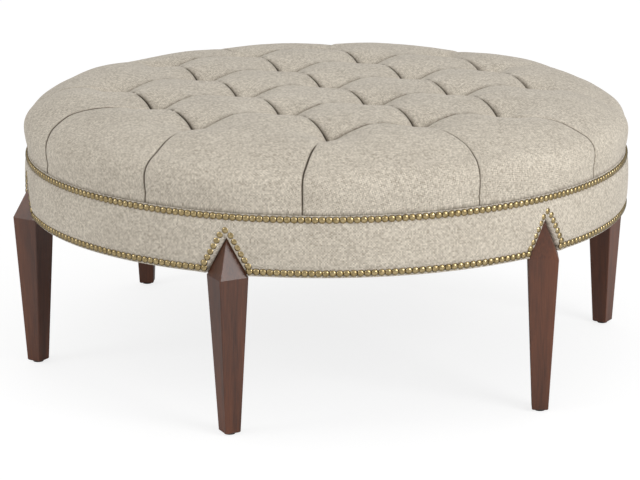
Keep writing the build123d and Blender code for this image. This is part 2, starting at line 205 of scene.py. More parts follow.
# The side profile from the crown's centre out and down to the foot, by its own length
def seatProfile():
    radius, foot, crown = seatHigh.x, seatLow.z, seatHigh.z
    shoulder = seat["shoulderRadius"]
    widest = foot + seat["widestRise"]
    across = radius - shoulder - seat["crownFlatRadius"]
    rise = crown - widest
    crownRadius = (across**2 + rise**2 - shoulder**2) / (2 * (rise - shoulder))
    centreHeight = crown - crownRadius
    meeting = math.atan2(widest - centreHeight, across)
    crownTurn = np.linspace(math.pi / 2, meeting, seat["arcSteps"])
    shoulderTurn = np.linspace(meeting, 0, seat["arcSteps"])[1:]
    fall = np.linspace(0, 1, seat["footSteps"])[1:]
    out = np.concatenate(
        [
            [0],
            seat["crownFlatRadius"] + crownRadius * np.cos(crownTurn),
            radius - shoulder + shoulder * np.cos(shoulderTurn),
            radius - seat["footTuck"] * fall**2,
        ]
    )
    up = np.concatenate(
        [
            [crown],
            centreHeight + crownRadius * np.sin(crownTurn),
            widest + shoulder * np.sin(shoulderTurn),
            widest - (widest - foot) * fall,
        ]
    )
    along = np.concatenate([[0], np.cumsum(np.hypot(np.diff(out), np.diff(up)))])
    slopeOut, slopeUp = np.gradient(out, along), np.gradient(up, along)
    size = np.hypot(slopeOut, slopeUp)
    return {
        "along": along,
        "out": out,
        "up": up,
        "normalOut": -slopeUp / size,
        "normalUp": slopeOut / size,
        "shoulderStart": along[len(crownTurn)],
        "widest": along[len(crownTurn) + len(shoulderTurn)],
        "foot": along[-1],
    }


# One of the profile's values at a distance from the crown's centre
def onCrown(profile, key, distance):
    return np.interp(distance, profile["out"][: seat["arcSteps"]], profile[key][: seat["arcSteps"]])


# A flat grid whose rim is drawn out, ring by ring, into the seat's side, and closed underneath
def seatBlank(panelSteps, sideRows):
    deselectAll()
    count = panelSteps * 2 * seat["tuftReach"]
    bpy.ops.mesh.primitive_grid_add(x_subdivisions=count, y_subdivisions=count, size=2)
    piece = bpy.context.active_object
    piece.name = "tufted_seat"
    shape = bmesh.new()
    shape.from_mesh(piece.data)
    gridX = shape.verts.layers.float.new("gridX")
    gridY = shape.verts.layers.float.new("gridY")
    row = shape.verts.layers.float.new("row")
    for vertex in shape.verts:
        vertex[gridX], vertex[gridY], vertex[row] = vertex.co.x, vertex.co.y, 0
    rim = [edge for edge in shape.edges if edge.is_boundary]
    for step in range(1, sideRows + seat["underRows"] + 1):
        made = bmesh.ops.extrude_edge_only(shape, edges=rim)["geom"]
        for part in made:
            if isinstance(part, bmesh.types.BMVert):
                part[row] = step
        rim = [part for part in made if isinstance(part, bmesh.types.BMEdge) and part.is_boundary]
    bmesh.ops.contextual_create(shape, geom=rim)
    shape.to_mesh(piece.data)
    shape.free()
    sortFaces(piece.data)
    return piece


# Mesh lines drawn closer to the lattice's, where the folds need them
def gathered(line):
    whole = np.floor(line)
    part = line - whole
    return whole + part - seat["gather"] * np.sin(2 * math.pi * part) / (2 * math.pi)


# Each pleat's azimuth at the foot, its bulge and its opening, against the way round the lattice
def footTurns():
    ways, turns, bulges, openings = [], [], [], []
    for quarter in range(5):
        for number, degrees in enumerate(seat["pleatTurns"]):
            ways.append(quarter + number / 4)
            turns.append(math.radians(90 * quarter + degrees))
            bulges.append(0)
            openings.append(1)
    for (i, j), shift in seat["pleatShifts"].items():
        turns[ways.index(wayRound(i, j))] += math.radians(shift)
    for (i, j), bulge in seat["pleatBulges"].items():
        bulges[ways.index(wayRound(i, j))] = math.radians(bulge)
    for (i, j), opening in seat["pleatOpenings"].items():
        openings[ways.index(wayRound(i, j))] = opening
    return ways, turns, bulges, openings


# How far round the lattice a tuft lies, in quarters
def wayRound(i, j):
    tuftTurn = math.atan2(i - j, i + j) % (2 * math.pi)
    quarter = math.floor(tuftTurn / (math.pi / 2))
    local = tuftTurn - quarter * math.pi / 2
    return round(4 * (quarter + math.sin(local) / (math.sin(local) + math.cos(local)))) / 4


def footTurnAt(way):
    ways, turns, bulges, openings = footTurns()
    return np.interp(way, ways, turns), np.interp(way, ways, bulges), np.interp(way, ways, openings)


# A pleat leaves its tuft sideways and soon runs straight down
def leaned(startTurn, way, startAlong, along, profile):
    endTurn, bulge = footTurnAt(way)[:2]
    share = np.clip((along - startAlong) / np.maximum(profile["widest"] - startAlong, 1e-6), 0, 1)
    bulged = bulge * np.sin(math.pi * share ** seat["bulgeLean"]) ** 2
    return startTurn + (endTurn - startTurn) * (1 - (1 - share) ** 2) + bulged


# Whether the lattice has a tuft there: all but its four corners
def tuftStands(line, mark):
    reach = seat["tuftReach"]
    return (np.abs(line) <= reach) & (np.abs(mark) <= reach) & (np.abs(line) + np.abs(mark) < 2 * reach)


# From 0 to 1, slowly at first and then ever more steeply, as a full cushion drops to its seam
def roundedDrop(reach, fullness):
    return 1 - (1 - np.clip(reach, 0, 1) ** fullness) ** (1 / fullness)


# From 1 to 0, steeply at first, as a seam draws cloth in
def cuspShare(across):
    return 1 - np.sqrt(np.clip(1 - (1 - np.clip(across, 0, 1)) ** 2, 0, 1))


# From 1 to 0, as a soft swelling
def swellShare(across):
    return (1 + np.cos(math.pi * np.clip(across, 0, 1))) / 2


# How far the folds between two neighbouring tufts draw the cloth down, and the painted shade along their
# creases
def foldDrop(across, along):
    reach, spacing = seat["tuftReach"], seat["tuftSpacing"]
    deepest, saddle = seat["tuftDepth"], seat["saddleDepth"]
    middle = np.clip(np.round(across), -reach, reach)
    away = np.abs(across - middle) * spacing
    start = np.floor(along)
    part = along - start
    toTuft = np.maximum(np.minimum(part, 1 - part) * spacing, 1e-6)
    edgeShare = np.clip(1 - toTuft / (spacing / 2), 0, 1)
    edge = saddle + (deepest - saddle) * edgeShare ** seat["foldSteepness"]
    pit = deepest * roundedDrop(1 - toTuft / halfStep, seat["lobeFullness"])
    depth = np.clip(edge - pit, 0, None)
    soft = smoothStep(*seat["foldSoftens"], toTuft)
    ratio = away / toTuft
    drop = depth * ((1 - soft) * roundedDrop(1 - ratio, seat["foldFullness"]) + soft * swellShare(ratio))
    line = np.clip(1 - away / seat["slitWidth"], 0, 1)
    drop += seat["slitDepth"] * (1 - soft) * line
    # Painted shade: dark along the slit, and a soft darkening beside the fold
    shade = seat["paintedShadeStrength"] * np.exp(-((away / seat["paintedShadeWidth"]) ** 2))
    paintedShade = (1 - soft) * np.maximum(line, shade)
    here = tuftStands(middle, start) & tuftStands(middle, start + 1) & (ratio < 1)
    return np.where(here, drop, 0), np.where(here, paintedShade, 0)


# Pits round the tufts, and the small puckers in them
def tuftPits(profile, planX, planY, rng):
    pits, puckers = np.zeros(len(planX)), np.zeros(len(planX))
    for i, j in tuftPlaces:
        tuftX, tuftY = planOf(i, j)
        depth = seat["tuftDepth"] - (seatHigh.z - onCrown(profile, "up", math.hypot(tuftX, tuftY)))
        away = np.hypot(planX - tuftX, planY - tuftY)
        pits = np.maximum(pits, depth * roundedDrop(1 - away / halfStep, seat["lobeFullness"]))
        bearing = np.arctan2(planY - tuftY, planX - tuftX)
        fade = np.exp(-((away / seat["puckerReach"]) ** 2)) * smoothStep(*seat["puckerGrows"], away)
        for waves in seat["puckerWaves"]:
            phase = rng.uniform(0, seat["phaseReach"])
            puckers += seat["puckerDepth"] * fade * np.sin(waves * bearing + phase) / 2
    return pits, puckers


# Pleats from the outer tufts over the shoulder to the foot, with a hollow along each and painted shade in
# each slit
def pleatDrop(profile, along, turn, out, onSide):
    pleats = hollows = paintedShade = np.zeros(len(along))
    for i, j in outerTufts:
        tuftX, tuftY = planOf(i, j)
        way = wayRound(i, j)
        tuftTurn = math.atan2(tuftY, tuftX) % (2 * math.pi)
        tuftAlong = onCrown(profile, "along", math.hypot(tuftX, tuftY))
        line = leaned(tuftTurn, way, tuftAlong, along, profile)
        aside = ((turn - line + math.pi) % (2 * math.pi) - math.pi) * out
        away, past = np.abs(aside), along - tuftAlong
        ends = [profile[key] - tuftAlong for key in ("shoulderStart", "widest", "foot")]
        marks = [*seat["pleatStart"], *ends]
        depth = np.interp(past, marks, [*seat["pleatStart"].values(), *seat["pleatDepths"]])
        lapSide = 1 if i * j * (abs(i) - abs(j)) < 0 else -1
        width = np.where(aside * lapSide > 0, seat["pleatNarrow"], seat["pleatWide"])
        width = np.minimum(width, np.maximum(past, 1e-6))
        sharp = smoothStep(*seat["pleatSharpens"], past)
        groove = depth * (sharp * cuspShare(away / width) + (1 - sharp) * swellShare(away / width))
        opening = seat["pleatSlitWidth"] * footTurnAt(way)[2]
        slit = sharp * np.clip(1 - away / opening, 0, 1)
        slit *= 1 - seat["slitFade"] * smoothStep(profile["shoulderStart"], profile["foot"], along)
        hollow = seat["hollowDepth"] * smoothStep(*seat["hollowGrows"], past)
        hollow *= swellShare(away / seat["hollowWidth"])
        here = (past > 0) & (away < seat["hollowWidth"]) & onSide
        pleats = np.maximum(pleats, np.where(here, groove + seat["pleatSlitDepth"] * slit, 0))
        hollows = np.maximum(hollows, np.where(here, hollow, 0))
        # Painted shade along the pleat's slit
        paintedShade = np.maximum(paintedShade, np.where(here, slit, 0))
    return pleats + hollows, paintedShade


# The ring of outer pillows, the fuller and leaner ones in it, and the eased shoulder
def swellOf(along, turn):
    swell = seat["ringSwell"] * swellShare(np.abs(along - seat["ringAlong"]) / seat["ringWidth"])
    for middle, size in seat["pillowSwells"].items():
        aside = np.abs((np.degrees(turn) - middle + 180) % 360 - 180)
        upDown = np.abs(along - seat["swellAlong"])
        swell += size * swellShare(aside / seat["swellTurn"]) * swellShare(upDown / seat["swellWidth"])
    eased = swellShare(np.abs(along - seat["shoulderAlong"]) / seat["shoulderWidth"])
    return swell - seat["shoulderEase"] * eased


# A little unevenness, as hand stuffing leaves
def unevenDrop(planX, planY, rng):
    drop = np.zeros(len(planX))
    for wave in range(seat["unevenWaves"]):
        heading, length = rng.uniform(0, 2 * math.pi), rng.uniform(*seat["unevenLengths"])
        phase = (planX * math.cos(heading) + planY * math.sin(heading)) * 2 * math.pi / length
        phase += rng.uniform(0, seat["phaseReach"])
        drop += seat["unevenness"] * (1 + np.sin(phase)) / seat["unevenWaves"]
    return drop


def shapeSeat(piece, sideRows):
    mesh = piece.data
    layers = {}
    for name in ("gridX", "gridY", "row"):
        values = np.empty(len(mesh.vertices), np.float32)
        mesh.attributes[name].data.foreach_get("value", values)
        layers[name] = values.astype(float)
        mesh.attributes.remove(mesh.attributes[name])
    row = layers["row"]
    profile = seatProfile()
    foot, reach = profile["foot"], seat["tuftReach"]
    startX, startY = planOf(gathered(layers["gridX"] * reach), gathered(layers["gridY"] * reach))
    startTurn = np.arctan2(startY, startX) % (2 * math.pi)
    quarter = np.floor(startTurn / (math.pi / 2) + 1e-9)
    local = np.clip(startTurn - quarter * math.pi / 2, 0, math.pi / 2)
    sideShare = quarter + np.sin(local) / (np.sin(local) + np.cos(local))
    outermost = np.argmax(profile["out"])
    startOut = np.hypot(startX, startY)
    startAlong = np.interp(startOut, profile["out"][:outermost], profile["along"][:outermost])
    share = np.clip(row / sideRows, 0, 1)
    along = startAlong + (foot - startAlong) * share
    turn = leaned(startTurn, sideShare, startAlong, along, profile)
    keys = ("out", "up", "normalOut", "normalUp")
    out, up, normalOut, normalUp = (np.interp(along, profile["along"], profile[key]) for key in keys)
    planX, planY = out * np.cos(turn), out * np.sin(turn)

    rng = np.random.default_rng(seat["seed"])
    pits, puckers = tuftPits(profile, planX, planY, rng)
    latticeI, latticeJ = latticeOf(planX, planY)
    foldsJ, paintedShadeJ = foldDrop(latticeI, latticeJ)
    foldsI, paintedShadeI = foldDrop(latticeJ, latticeI)
    pleats, pleatPaintedShade = pleatDrop(profile, along, turn, out, row > 0)
    # Painted shade from the folds and from the pleats' slits
    paintedShade = np.maximum(np.maximum(paintedShadeJ, paintedShadeI), pleatPaintedShade)
    drop = pits + np.maximum(foldsJ, foldsI) + puckers + pleats - swellOf(along, turn)
    drop += unevenDrop(planX, planY, rng)

    # The foot's edge is held flatter and drawn in
    drop *= 1 - seat["footHold"] * smoothStep(foot - seat["footHoldReach"], foot, along)
    footShare = np.clip((along - profile["widest"]) / (foot - profile["widest"]), 0, 1)
    drop += seat["softTuck"] * footShare**2
    out, up = out - normalOut * drop, up - normalUp * drop
    points = np.stack([out * np.cos(turn), out * np.sin(turn), up], axis=1)

    # Each fold bows a little to one side between its tufts
    startI, startJ = latticeOf(startX, startY)
    bow = seat["foldBow"] * (1 - smoothStep(0, seat["bowReach"], share)) / math.sqrt(2)
    bowI = bow * np.sin(2 * math.pi * startJ) ** 2 * (1 + np.cos(2 * math.pi * startI)) / 2
    bowJ = -bow * np.sin(2 * math.pi * startI) ** 2 * (1 + np.cos(2 * math.pi * startJ)) / 2
    points[:, 0] += bowI + bowJ
    points[:, 1] += bowI - bowJ

    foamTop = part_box("foam_pad")[1].z + seat["skinLeft"] / 2
    top = row < 1
    points[top, 2] = np.maximum(points[top, 2], foamTop + seat["skinLeft"])

    # The lip under the foot hangs outside the deck's edge, and the hollow holds the foam
    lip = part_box("deck_board")[1].x + seat["footLap"]
    wall = seatHigh.x - seat["wallInset"]
    low = seatLow.z - seat["footDrop"]
    points[row == sideRows, 2] = low
    under = [(lip, low), (lip, seatLow.z), (wall, seatLow.z), (wall, foamTop)]
    for step, (size, height) in enumerate(under, 1):
        here = row == sideRows + step
        points[here, 0], points[here, 1] = size * np.cos(turn[here]), size * np.sin(turn[here])
        points[here, 2] = height
    writePoints(mesh, points)
    evenX, evenY = planOf(layers["gridX"] * reach, layers["gridY"] * reach)
    cloth = np.stack([along * np.cos(turn), along * np.sin(turn)], axis=1)
    cloth += seat["clothGather"] * np.stack([evenX - startX, evenY - startY], axis=1)
    layUv(mesh, cloth)
    layPaintedShade(mesh, paintedShade)


def makeSeat():
    coarser = 1
    rows = seat["sideRows"] // coarser
    piece = seatBlank(seat["stepsPerPanel"] // coarser, rows)
    shapeSeat(piece, rows)
    piece.data.shade_smooth()
    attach(piece, body)
    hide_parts("seat_cover")
    return piece


tuftedSeat = makeSeat()
print("seat made:", len(tuftedSeat.data.polygons), "faces")


# Apron

apron = {
    "legCount": 6,
    "obeliskHeight": 0.0633,
    "legSide": 0.0508,
    "padding": 0.0061,
    "notchGap": 0.0004,
    "topDrop": 0.0034,  # the folded edge sits lower than the plain band's
    "hemRoll": 0.0022,
    "topRoll": 0.0018,
    "notchRoll": 0.0072,
    "fineReach": 0.046,
    "fineColumns": 64,
    "wideColumns": 44,
    "faceRows": 34,
    "rowGather": 1.6,  # over 1, the rows lie closer at the hem
    "edgeSteps": 6,  # round the top edge, and down the back
    "nailPinch": 0.0018,
    "pinchWidth": 0.007,
    "topTuck": 0.0028,  # how far the cloth is drawn in at the top nails
    "topTuckRange": (-0.012, 0.001),  # from the nails' middle
    "hemTuck": 0.0022,
    "hemTuckRange": (-0.001, 0.014),
    "bandSwell": 0.0018,  # between the rows of nails
    "notchEase": 0.02,  # from a notch to where the tucks and the swell are whole
    "paintedNailShade": 0.4,  # painted shade in the crease behind the nails
    "paintedNailShadeWidth": 0.0036,
}


def apronColumns():
    sector = 2 * math.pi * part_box("apron_band")[1].x / apron["legCount"]
    reach = apron["fineReach"]
    fine = np.linspace(-reach, reach, apron["fineColumns"] + 1)[:-1]
    wide = np.linspace(reach, sector - reach, apron["wideColumns"] + 1)[:-1]
    columns = np.concatenate([fine, wide])
    return np.concatenate([columns + sector * leg for leg in range(apron["legCount"])]), sector


rowMiddles = [(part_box(row)[0].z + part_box(row)[1].z) / 2 for row in ("nails_top_row", "nails_low_row")]


# How far the cloth is drawn in at the two rows of nails
def tuckAt(height):
    top, low = rowMiddles
    tuck = apron["topTuck"] * smoothStep(*apron["topTuckRange"], height - top)
    return tuck + apron["hemTuck"] * (1 - smoothStep(*apron["hemTuckRange"], height - low))


def makeApron():
    low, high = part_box("apron_band")
    face, inside = high.x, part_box("apron_padding")[1].x - apron["padding"]
    top = high.z - apron["topDrop"]
    columns, sector = apronColumns()
    offset = (columns + sector / 2) % sector - sector / 2
    halfDiagonal = apron["legSide"] / math.sqrt(2)
    steepness = apron["obeliskHeight"] / halfDiagonal
    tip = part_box("leg_1")[1].z
    footHalf = (tip - low.z) / steepness + apron["notchGap"]
    apexZ = tip + apron["notchGap"] * steepness
    edge = np.maximum(low.z, apexZ - np.abs(offset) * steepness)
    share = np.linspace(0, 1, apron["faceRows"]) ** apron["rowGather"]
    height = edge[:, None] + (top - apron["topRoll"] - edge[:, None]) * share[None, :]
    side = np.abs(offset)[:, None]

    # Distance from each point of the face to the nearest side of the notch
    runS, runZ = footHalf, low.z - apexZ
    part = np.clip((side * runS + (height - apexZ) * runZ) / (runS**2 + runZ**2), 0, 1)
    toNotch = np.hypot(side - part * runS, height - apexZ - part * runZ)
    rolls = [
        roll * cuspShare(distance / roll)
        for distance, roll in ((toNotch, apron["notchRoll"]), (height - low.z, apron["hemRoll"]))
    ]
    inset = np.maximum(*rolls)
    for middle in rowMiddles:
        inset += apron["nailPinch"] * np.exp(-(((height - middle) / apron["pinchWidth"]) ** 2))
    eased = smoothStep(0, apron["notchEase"], toNotch)
    betweenRows = np.clip((height - rowMiddles[1]) / (rowMiddles[0] - rowMiddles[1]), 0, 1)
    inset += (tuckAt(height) - apron["bandSwell"] * np.sin(math.pi * betweenRows)) * eased
    faceOut = np.maximum(face - inset, inside)

    # Over the top edge, and down the back
    turns = np.linspace(0, math.pi / 2, apron["edgeSteps"])[1:]
    topOut = faceOut[:, -1:] - apron["topRoll"] * (1 - np.cos(turns))
    topUp = top - apron["topRoll"] * (1 - np.sin(turns))
    count = len(columns)
    out = np.concatenate([faceOut, topOut, np.full((count, 1), inside)], axis=1)
    up = np.concatenate([height, np.tile(topUp, (count, 1)), np.full((count, 1), top)], axis=1)
    backUp = np.linspace(1, 0, apron["edgeSteps"])[1:]
    out = np.concatenate([out, np.full((count, len(backUp)), inside)], axis=1)
    up = np.concatenate([up, edge[:, None] + (top - edge[:, None]) * backUp[None, :]], axis=1)
    turn = columns / face - math.pi / 2
    rows = out.shape[1]
    points = np.stack([out * np.cos(turn)[:, None], out * np.sin(turn)[:, None], up], axis=2).reshape(-1, 3)
    faces = [
        (
            column * rows + row,
            (column + 1) % count * rows + row,
            (column + 1) % count * rows + (row + 1) % rows,
            column * rows + (row + 1) % rows,
        )
        for column in range(count)
        for row in range(rows)
    ]
    mesh = bpy.data.meshes.new("apron_cover")
    mesh.from_pydata(points.tolist(), [], faces)
    cloth = np.stack([np.tile(columns[:, None], (1, rows)), up], axis=2).reshape(-1, 2)
    layUv(mesh, cloth, around=sector * apron["legCount"])
    # Painted shade behind the two rows of nails, seen in the gaps between them
    behindNails = sum(np.exp(-(((up - middle) / apron["paintedNailShadeWidth"]) ** 2)) for middle in rowMiddles)
    layPaintedShade(mesh, apron["paintedNailShade"] * behindNails)
    mesh.shade_smooth()
    piece = newPiece("apron_cover", mesh)
    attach(piece, body)
    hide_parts("apron_band", "apron_padding")
    return piece


apronCover = makeApron()
print("apron made:", len(apronCover.data.polygons), "faces")


# Nails

nail = {
    "radius": 0.006,
    "dome": 0.0034,
    "sunk": 0.002,  # into the cloth
    "segments": 12,
    "rings": 8,
    "peakSlack": 0.0002,  # a solid's points this close to its farthest are its peaks
}


def makeNail():
    deselectAll()
    bpy.ops.mesh.primitive_uv_sphere_add(
        segments=nail["segments"], ring_count=nail["rings"], radius=nail["radius"]
    )
    dome = bpy.context.active_object
    bpy.ops.object.mode_set(mode="EDIT")
    bpy.ops.mesh.select_all(action="SELECT")
    bpy.ops.mesh.bisect(plane_co=(0, 0, 0), plane_no=(0, 0, 1), clear_inner=True, use_fill=True)
    bpy.ops.mesh.select_all(action="SELECT")
    bpy.ops.transform.resize(value=(1, 1, nail["dome"] / nail["radius"]))
    bpy.ops.object.mode_set(mode="OBJECT")
    sortFaces(dome.data)
    dome.data.shade_smooth()
    return dome


# A nail stands wherever the row's solid has a peak
def nailPlaces(node):
    points = readPoints(frame["nodes"][node].data)
    out = np.hypot(points[:, 0], points[:, 1])
    peaks = points[out > out.max() - nail["peakSlack"]]
    places = {tuple(np.round(peak, 4)): peak for peak in peaks}
    return [places[key] for key in sorted(places)]


def makeNailRow(dome, node):
    shape = bmesh.new()
    for peak in nailPlaces(node):
        outward = Vector((peak[0], peak[1], 0)).normalized()
        across = Vector((0, 0, 1)).cross(outward)
        turn = Matrix((across, Vector((0, 0, 1)), outward)).transposed().to_4x4()
        tuck = 0 if node == "nails_leg_vees" else tuckAt(peak[2])
        foot = Vector(peak) - outward * (nail["dome"] + nail["sunk"] + tuck)
        copy = dome.data.copy()
        copy.transform(Matrix.Translation(foot) @ turn)
        shape.from_mesh(copy)
        bpy.data.meshes.remove(copy)
    mesh = bpy.data.meshes.new(node + "_heads")
    shape.to_mesh(mesh)
    shape.free()
    piece = newPiece(node + "_heads", mesh)
    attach(piece, body)
    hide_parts(node)
    return piece


nailDome = makeNail()
nailRows = [makeNailRow(nailDome, node) for node in ("nails_top_row", "nails_low_row", "nails_leg_vees")]
bpy.data.objects.remove(nailDome)
print("nails made:", [len(row.data.polygons) for row in nailRows])


# Dust cloth

dustCloth = {
    "thickness": 0.0008,
    "sag": 0.004,
    "sagReach": 0.16,  # in from the edge
    "drapeShare": 0.25,  # of the sag, which goes in waves
    "drapeLobes": 5,  # round the cloth
    "drapeWaves": 11,  # from its middle out
    "segments": 180,
    "rings": 14,
    "middleRings": 1.5,  # in rings' widths, left in the middle
    "legGap": 0.0006,
    "legCutOut": 0.0014,  # square metres, for each leg
}


def makeDustCloth():
    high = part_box("dust_cover")[1]
    radius = high.x
    deselectAll()
    bpy.ops.mesh.primitive_circle_add(
        vertices=dustCloth["segments"], radius=radius, fill_type="NGON", location=(0, 0, high.z)
    )
    sheet = bpy.context.active_object
    sheet.name = "dust_cloth"
    bpy.ops.object.mode_set(mode="EDIT")
    bpy.ops.mesh.select_all(action="SELECT")
    for ring in range(dustCloth["rings"]):
        bpy.ops.mesh.inset(thickness=radius / (dustCloth["rings"] + dustCloth["middleRings"]), depth=0)
    bpy.ops.object.mode_set(mode="OBJECT")
    sheet.data.transform(sheet.matrix_world)
    sheet.matrix_world = Matrix.Identity(4)
    points = readPoints(sheet.data)
    out = np.hypot(points[:, 0], points[:, 1])
    turn = np.arctan2(points[:, 1], points[:, 0])
    inward = smoothStep(0, dustCloth["sagReach"], radius - out)
    waves = np.sin(dustCloth["drapeLobes"] * turn + 1) * np.sin(dustCloth["drapeWaves"] * out)
    drape = 1 - dustCloth["drapeShare"] + dustCloth["drapeShare"] * waves
    points[:, 2] -= dustCloth["sag"] * inward * drape
    writePoints(sheet.data, points)
    legOut = -(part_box("leg_1")[0].y) - apron["legSide"] / math.sqrt(2)
    size = apron["legSide"] + 2 * dustCloth["legGap"]
    cutters = []
    for leg in range(apron["legCount"]):
        turnLeg = 2 * math.pi * leg / apron["legCount"] - math.pi / 2
        deselectAll()
        bpy.ops.mesh.primitive_cube_add(
            size=size,
            location=(legOut * math.cos(turnLeg), legOut * math.sin(turnLeg), high.z),
            rotation=(0, 0, turnLeg + math.pi / 4),
        )
        cutters.append(bpy.context.active_object)
    deselectAll()
    for cutter in cutters:
        cutter.select_set(True)
    bpy.context.view_layer.objects.active = cutters[0]
    bpy.ops.object.join()
    cutter = bpy.context.active_object
    deselectAll()
    sheet.select_set(True)
    bpy.context.view_layer.objects.active = sheet
    solid = sheet.modifiers.new("thickness", "SOLIDIFY")
    solid.thickness = dustCloth["thickness"]
    solid.offset = 1
    bpy.ops.object.modifier_apply(modifier="thickness")
    cut = sheet.modifiers.new("legs", "BOOLEAN")
    cut.object = cutter
    cut.operation = "DIFFERENCE"
    cut.solver = "EXACT"
    bpy.ops.object.modifier_apply(modifier="legs")
    bpy.data.objects.remove(cutter)
    points = readPoints(sheet.data)
    points[:, 2] += high.z - points[:, 2].max()
    writePoints(sheet.data, points)
    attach(sheet, body)
    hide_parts("dust_cover")
    return sheet


dustSheet = makeDustCloth()
print("dust cloth made:", len(dustSheet.data.polygons), "faces")


# Materials: shared effects first, then one short function for each finish

def colour(red, green, blue):
    linear = []
    for value in (red, green, blue):
        share = value / 255
        linear.append(share / 12.92 if share <= 0.04045 else ((share + 0.055) / 1.055) ** 2.4)
    return (*linear, 1)


def plug(tree, value, socket):
    if isinstance(value, bpy.types.NodeSocket):
        tree.links.new(value, socket)
    elif value is not None:
        socket.default_value = value


def calc(tree, operation, first, second=None, third=None):
    node = tree.nodes.new("ShaderNodeMath")
    node.operation = operation
    for value, socket in zip((first, second, third), node.inputs):
        plug(tree, value, socket)
    return node.outputs[0]


def vectorCalc(tree, operation, first, second=None, third=None, scale=None):
    node = tree.nodes.new("ShaderNodeVectorMath")
    node.operation = operation
    for value, socket in zip((first, second, third, scale), node.inputs):
        plug(tree, value, socket)
    return node.outputs[0]


# Several values added up, each with its own weight
def weighted(tree, *pairs):
    parts = [calc(tree, "MULTIPLY", value, weight) for value, weight in pairs]
    total = parts[0]
    for part in parts[1:]:
        total = calc(tree, "ADD", total, part)
    return total


def blendColour(tree, share, first, second):
    node = tree.nodes.new("ShaderNodeMix")
    node.data_type = "RGBA"
    plug(tree, share, node.inputs["Factor"])
    plug(tree, first, node.inputs[6])
    plug(tree, second, node.inputs[7])
    return node.outputs[2]


def noise(tree, vector, scale, detail=3, rough=0.5, stretch=None):
    if stretch is not None:
        mapping = tree.nodes.new("ShaderNodeMapping")
        mapping.inputs["Scale"].default_value = stretch
        plug(tree, vector, mapping.inputs["Vector"])
        vector = mapping.outputs[0]
    node = tree.nodes.new("ShaderNodeTexNoise")
    plug(tree, vector, node.inputs["Vector"])
    plug(tree, scale, node.inputs["Scale"])
    node.inputs["Detail"].default_value = detail
    node.inputs["Roughness"].default_value = rough
    return node.outputs["Fac"]


def spread(tree, value, low, high):
    node = tree.nodes.new("ShaderNodeMapRange")
    plug(tree, value, node.inputs["Value"])
    node.inputs["From Min"].default_value = low
    node.inputs["From Max"].default_value = high
    return node.outputs[0]


def startGroup(name, inputs, outputs):
    group = bpy.data.node_groups.new(name, "ShaderNodeTree")
    for label, kind, value in inputs:
        socket = group.interface.new_socket(name=label, in_out="INPUT", socket_type=kind)
        if value is not None:
            socket.default_value = value
    for label, kind in outputs:
        group.interface.new_socket(name=label, in_out="OUTPUT", socket_type=kind)
    return group, group.nodes.new("NodeGroupInput"), group.nodes.new("NodeGroupOutput")


# Heathered cloth: a plain weave with threads of uneven tone
weave = {
    "pitch": 0.0023,  # metres from thread to thread
    "wobble": 0.0012,
    "wobbleScale": 60,
    "weftHeight": 0.72,  # of the warp's
    "clump": 1.6,  # threads that share a tone
    "slubScale": 260,
    "patchScale": 9,
    # How far each darkens the cloth
    "fleckTone": 0.37,
    "clumpTone": 0.13,
    "slubTone": 0.04,
    "gapShade": 0.14,
    # painted shade between the threads' crowns
    "patchTone": 0.06,
    "underTone": 0.12,
    "light": (234, 225, 209),
    "dark": (112, 100, 84),
    # The colour and strength of the painted shade in folds and behind nails
    "paintedShadeColour": (84, 74, 62),
    "paintedShadeGain": 1.9,
    "paintedShadeMost": 0.95,
}


